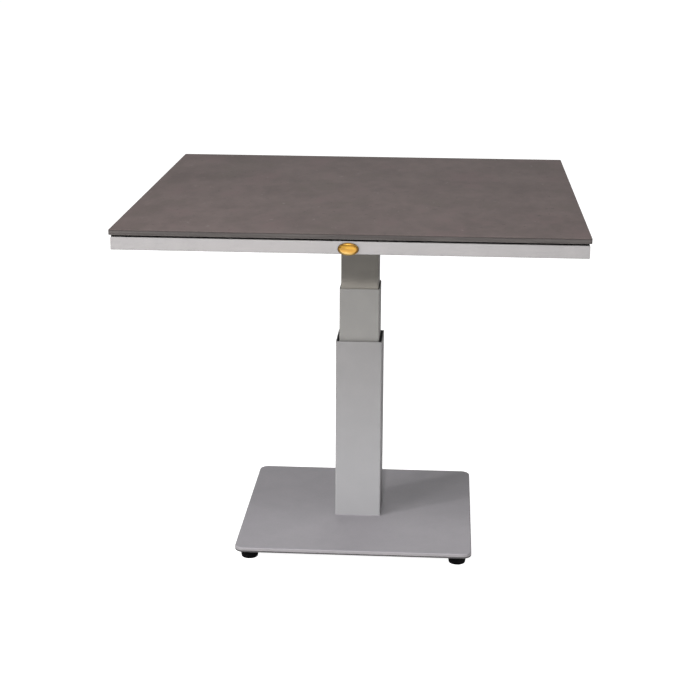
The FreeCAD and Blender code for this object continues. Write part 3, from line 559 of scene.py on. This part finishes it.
def selectOnly(piece):
    bpy.ops.object.select_all(action="DESELECT")
    piece.select_set(True)
    bpy.context.view_layer.objects.active = piece


def openMesh(piece):
    selectOnly(piece)
    bpy.ops.object.mode_set(mode="EDIT")


def closeMesh():
    bpy.ops.object.mode_set(mode="OBJECT")


def pickFaces(piece, wanted):
    # select the faces whose middle and normal pass the test
    bpy.ops.mesh.select_mode(type="FACE")
    bpy.ops.mesh.select_all(action="DESELECT")
    mesh = bmesh.from_edit_mesh(piece.data)
    for face in mesh.faces:
        face.select_set(wanted(face.calc_center_median(), face.normal))
    bmesh.update_edit_mesh(piece.data)


def pickEdges(piece, wanted):
    # select the edges whose two ends pass the test
    bpy.ops.mesh.select_mode(type="EDGE")
    bpy.ops.mesh.select_all(action="DESELECT")
    mesh = bmesh.from_edit_mesh(piece.data)
    for edge in mesh.edges:
        edge.select_set(wanted(edge.verts[0].co, edge.verts[1].co))
    bmesh.update_edit_mesh(piece.data)


def settle(piece, name):
    # name the piece and move its place into its mesh
    selectOnly(piece)
    bpy.ops.object.transform_apply(location=True, rotation=True, scale=True)
    piece.name = name
    piece.data.name = name
    return piece


def copyPiece(piece, name, shift):
    selectOnly(piece)
    bpy.ops.object.duplicate()
    bpy.ops.transform.translate(value=shift)
    return settle(bpy.context.object, name)


def softenEdges(piece, sizes):
    # round every edge that turns by more than an angle
    selectOnly(piece)
    bevel = piece.modifiers.new("soften", "BEVEL")
    bevel.width = sizes["edge"]
    bevel.segments = sizes["edgeSteps"]
    bevel.limit_method = "ANGLE"
    bevel.angle_limit = math.radians(sizes["edgeAngle"])
    bpy.ops.object.modifier_apply(modifier=bevel.name)
    bpy.ops.object.shade_smooth_by_angle(angle=math.radians(meshRules["smoothAngle"]))


def finish(piece, body, slotName, *nodes):
    piece.data.materials.clear()
    piece.data.materials.append(finishes[slotName])
    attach(piece, body)
    if nodes:
        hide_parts(*nodes)


# blank oval badge: a raised rim round a domed field
badgeSizes = {
    "facets": 96,
    "crownRoom": 0.0002,
    "rimWidth": 0.0017,
    "grooveDepth": 0.0008,
    "grooveWidth": 0.0007,
    "domeRise": 0.0009,
    "domeSteps": 8,
    "edge": 0.0004,
    "edgeSteps": 3,
    "edgeAngle": 40,
}


def makeBadge():
    low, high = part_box("badge_plate")
    centre = (low + high) / 2
    size = high - low
    depth = size.y - badgeSizes["crownRoom"]
    bpy.ops.mesh.primitive_cylinder_add(
        vertices=badgeSizes["facets"],
        radius=0.5,
        depth=depth,
        location=(centre.x, high.y - depth / 2, centre.z),
        rotation=(math.pi / 2, 0, 0),
    )
    piece = bpy.context.object
    piece.scale = (size.x, size.z, 1)
    settle(piece, "badge")
    openMesh(piece)
    pickFaces(piece, lambda middle, normal: normal.y < -meshRules["faceOn"])
    bpy.ops.mesh.inset(thickness=badgeSizes["rimWidth"])
    bpy.ops.mesh.inset(thickness=badgeSizes["grooveWidth"])
    bpy.ops.transform.translate(value=(0, badgeSizes["grooveDepth"], 0))
    bpy.ops.mesh.inset(thickness=badgeSizes["grooveWidth"])
    # the dome rises in rings that follow a quarter of a circle
    turn = math.pi / 2 / badgeSizes["domeSteps"]
    for step in range(1, badgeSizes["domeSteps"]):
        rise = math.sin(step * turn) - math.sin((step - 1) * turn)
        shrink = math.cos(step * turn) / math.cos((step - 1) * turn)
        shift = (0, -rise * badgeSizes["domeRise"], 0)
        bpy.ops.mesh.extrude_region_move(TRANSFORM_OT_translate={"value": shift})
        bpy.ops.transform.resize(value=(shrink, 1, shrink), center_override=(centre.x, low.y, centre.z))
    bpy.ops.mesh.poke()
    closeMesh()
    softenEdges(piece, badgeSizes)
    finish(piece, "top", "gold_badge", "badge_plate")


# moulded grip on the release lever, with finger grooves
gripSizes = {
    "corner": 0.0055,
    "cornerSteps": 4,
    "grooves": 8,
    "grooveWidth": 0.004,
    "grooveDepth": 0.0011,
    "endMargin": 0.016,
    "edge": 0.0009,
    "edgeSteps": 3,
    "edgeAngle": 30,
}


def makeGrip():
    low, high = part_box("lever_grip")
    size = high - low
    bpy.ops.mesh.primitive_cube_add(size=1, location=(low + high) / 2, scale=size)
    piece = settle(bpy.context.object, "leverGrip")
    openMesh(piece)
    pickEdges(piece, lambda one, two: abs(one.x - two.x) > size.x / 2)
    bpy.ops.mesh.bevel(offset=gripSizes["corner"], segments=gripSizes["cornerSteps"], affect="EDGES")
    # the last groove starts half a pitch before the far margin
    first = low.x + gripSizes["endMargin"]
    pitch = (high.x - gripSizes["endMargin"] - first) / (gripSizes["grooves"] - 0.5)
    starts = [first + pitch * count for count in range(gripSizes["grooves"])]
    grooves = [(start, start + gripSizes["grooveWidth"]) for start in starts]
    for pair in grooves:
        for place in pair:
            bpy.ops.mesh.select_all(action="SELECT")
            bpy.ops.mesh.bisect(plane_co=(place, 0, 0), plane_no=(1, 0, 0))

    def inGroove(middle, normal):
        aside = abs(normal.x) < meshRules["faceOn"]
        return aside and any(start < middle.x < end for start, end in grooves)

    pickFaces(piece, inGroove)
    bpy.ops.mesh.extrude_region_shrink_fatten(
        TRANSFORM_OT_shrink_fatten={"value": -gripSizes["grooveDepth"], "use_even_offset": True}
    )
    closeMesh()
    softenEdges(piece, gripSizes)
    finish(piece, "lever", "black_plastic", "lever_grip")


# hexagon bolts under the base plate
boltSizes = {
    "flats": 0.013,
    "head": 0.0053,
    "chamfer": 0.0011,
    "chamferSteps": 3,
    "dish": 0.0004,
    "dishWidth": 0.0021,
    "edge": 0.00015,
    "edgeSteps": 1,
    "edgeAngle": 40,
}


def makeBaseBolts():
    low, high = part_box("base_bolts")
    corner = boltSizes["flats"] / math.sqrt(3)
    reach = high.x - corner
    bpy.ops.mesh.primitive_cylinder_add(
        vertices=6,
        radius=corner,
        depth=boltSizes["head"],
        location=(-reach, -reach, low.z + boltSizes["head"] / 2),
    )
    first = settle(bpy.context.object, "baseBolt_1")
    openMesh(first)
    pickFaces(first, lambda middle, normal: normal.z < -meshRules["faceOn"])
    bpy.ops.mesh.bevel(offset=boltSizes["chamfer"], segments=boltSizes["chamferSteps"], affect="EDGES")
    pickFaces(first, lambda middle, normal: normal.z < -meshRules["faceOn"])
    bpy.ops.mesh.inset(thickness=boltSizes["dishWidth"])
    bpy.ops.transform.translate(value=(0, 0, boltSizes["dish"]))
    closeMesh()
    softenEdges(first, boltSizes)
    others = [
        copyPiece(first, "baseBolt_2", (2 * reach, 0, 0)),
        copyPiece(first, "baseBolt_3", (2 * reach, 2 * reach, 0)),
        copyPiece(first, "baseBolt_4", (0, 2 * reach, 0)),
    ]
    finish(first, "base", "zinc_steel", "base_bolts")
    for bolt in others:
        finish(bolt, "base", "zinc_steel")


# fillet welds at the column's foot and head, laid as overlapping beads: radii are a bead's
# half sizes along the weld, away from the tube and upwards, before it is tipped by the tilt
weldSizes = {
    "pitch": 0.0021,
    "radii": (0.001995, 0.001932, 0.001302),
    "tilt": 45,
    "facets": 8,
    "rings": 6,
    "corner": 0.003,
    "cornerBeads": 2,
}


def weldPath(side):
    # even steps round a square with round corners, each with its outward direction
    corner = weldSizes["corner"]
    pitch = weldSizes["pitch"]
    flat = side / 2 - corner
    steps = []
    for quarter in range(4):
        turned = Matrix.Rotation(quarter * math.pi / 2, 3, "Z")
        count = round(2 * flat / pitch)
        for step in range(count):
            along = -flat + 2 * flat * (step + 0.5) / count
            steps.append((turned @ Vector((along, -side / 2, 0)), turned @ Vector((0, -1, 0))))
        count = max(weldSizes["cornerBeads"], round(corner * math.pi / 2 / pitch))
        for step in range(count):
            angle = (step + 0.5) / count * math.pi / 2
            outward = Vector((math.sin(angle), -math.cos(angle), 0))
            steps.append((turned @ (Vector((flat, -flat, 0)) + outward * corner), turned @ outward))
    return steps


def makeWeld(name, node, tubeNode, body, slotName, facing):
    # facing is 1 for a weld that stands on a plate, -1 for one that hangs from a plate
    low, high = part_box(node)
    tubeLow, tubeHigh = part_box(tubeNode)
    level = low.z if facing > 0 else high.z
    bpy.ops.mesh.primitive_uv_sphere_add(
        segments=weldSizes["facets"], ring_count=weldSizes["rings"], radius=1.0, location=(0, 0, 0)
    )
    ripple = bpy.context.object
    ripple.scale = weldSizes["radii"]
    ripple.rotation_euler = (facing * math.radians(weldSizes["tilt"]), 0, 0)
    settle(ripple, name + "Ripple")
    beads = []
    for place, outward in weldPath(tubeHigh.x - tubeLow.x):
        bead = ripple.copy()
        bead.data = ripple.data.copy()
        bpy.context.collection.objects.link(bead)
        turned = Matrix.Rotation(math.atan2(outward.x, -outward.y), 4, "Z")
        bead.matrix_world = Matrix.Translation(place + Vector((0, 0, level))) @ turned
        beads.append(bead)
    bpy.data.objects.remove(ripple)
    bpy.ops.object.select_all(action="DESELECT")
    for bead in beads:
        bead.select_set(True)
    bpy.context.view_layer.objects.active = beads[0]
    bpy.ops.object.join()
    piece = settle(bpy.context.object, name)
    bpy.ops.object.shade_smooth()
    finish(piece, body, slotName, node)


makeBadge()
makeGrip()
makeBaseBolts()
makeWeld("footWeld", "foot_weld", "outer_tube", "base", "grey_coat_base", 1)
makeWeld("headWeld", "head_weld", "inner_tube", "top", "grey_coat_frame", -1)
print("pieces modelled")


stageSizes = {
    "floorSize": 60,
    "floorDrop": 0.0004,
    "floorTone": rgb(0.76, 0.76, 0.76),
    "floorDull": 0.9,
    "sweepTone": rgb(1.0, 1.0, 1.0),
    "sweepStrength": 1.9,
    "sweepShare": 0.5,
    "worldStrength": 0.215,
}
# height above the horizon and turn from the front, in degrees, and only a mirrored light
# shows in what is glossy
lights = {
    "key": {"power": 136, "size": 0.4, "height": 15.5, "turn": -56, "mirrored": False},
    "fill": {"power": 100, "size": 1.2, "height": 28, "turn": -40, "mirrored": False},
    "front": {"power": 188, "size": 0.18, "height": 19.8, "turn": 0, "mirrored": False},
    "top": {"power": 97, "size": 0.9, "height": 54, "turn": -8, "mirrored": True},
    "side": {"power": 16, "size": 0.7, "height": 20, "turn": 80, "mirrored": True},
    "back": {"power": 32, "size": 2.6, "height": 35, "turn": -178, "mirrored": True},
}
lightReach = {"middle": (0, 0, 0.6), "distance": 4.5}


def makeFloor():
    # lit like any floor, and washed towards white where the camera sees it
    bpy.ops.mesh.primitive_plane_add(size=stageSizes["floorSize"], location=(0, 0, -stageSizes["floorDrop"]))
    floor = settle(bpy.context.object, "floor")
    constants = {
        "Specular IOR Level": 0.0,
        "Roughness": stageSizes["floorDull"],
        "Base Color": stageSizes["floorTone"],
    }
    paint = Paint("paleFloor", constants)
    seen = paint.node("ShaderNodeLightPath", {}, {}, "Is Camera Ray")
    glow = {"Color": stageSizes["sweepTone"], "Strength": stageSizes["sweepStrength"]}
    sweep = paint.node("ShaderNodeEmission", {}, glow)
    lit = Wire(paint, paint.shader.outputs["BSDF"])
    surface = paint.node("ShaderNodeMixShader", {}, {0: seen * stageSizes["sweepShare"], 1: lit, 2: sweep})
    paint.plug(paint.tree.nodes["Material Output"], {"Surface": surface})
    floor.data.materials.append(paint.material)


def makeWorld():
    # a dim surround for the light, and plain white behind the floor
    world = bpy.data.worlds.new("studio")
    shading = Shading(world)
    surround = shading.tree.nodes["Background"]
    shading.plug(surround, {"Color": stageSizes["sweepTone"], "Strength": stageSizes["worldStrength"]})
    dim = Wire(shading, surround.outputs["Background"])
    white = shading.node("ShaderNodeBackground", {}, {"Color": stageSizes["sweepTone"]})
    seen = shading.node("ShaderNodeLightPath", {}, {}, "Is Camera Ray")
    shown = shading.node("ShaderNodeMixShader", {}, {0: seen, 1: dim, 2: white})
    shading.plug(shading.tree.nodes["World Output"], {"Surface": shown})
    bpy.context.scene.world = world


def makeLights():
    # each light looks at the middle from its own distance
    middle = Matrix.Translation(lightReach["middle"])
    away = Matrix.Translation((0, 0, lightReach["distance"]))
    for name, values in lights.items():
        turned = Matrix.Rotation(math.radians(values["turn"]), 4, "Z")
        tipped = Matrix.Rotation(math.radians(90 - values["height"]), 4, "X")
        bpy.ops.object.light_add(type="AREA")
        light = bpy.context.object
        light.name = name + "Light"
        light.data.energy = values["power"]
        light.data.size = values["size"]
        light.matrix_world = middle @ turned @ tipped @ away
        light.visible_camera = False
        light.visible_glossy = values["mirrored"]


# turn, tilt and roll in radians, lens and sensor in millimetres
cameraPlace = {
    "position": (0.1778, -3.3215, 1.3579),
    "turn": 0.06017,
    "tilt": -0.28117,
    "roll": -0.00647,
    "lens": 81.438,
    "sensor": 36.0,
}


def makeCamera():
    bpy.ops.object.camera_add()
    camera = bpy.context.object
    camera.data.lens = cameraPlace["lens"]
    camera.data.sensor_width = cameraPlace["sensor"]
    camera.matrix_world = (
        Matrix.Translation(cameraPlace["position"])
        @ Matrix.Rotation(cameraPlace["turn"], 4, "Z")
        @ Matrix.Rotation(cameraPlace["tilt"] + math.pi / 2, 4, "X")
        @ Matrix.Rotation(-cameraPlace["roll"], 4, "Z")
    )
    bpy.context.scene.camera = camera


makeFloor()
makeWorld()
makeLights()
makeCamera()
bpy.context.scene.view_settings.view_transform = "Standard"
print("stage and camera set")
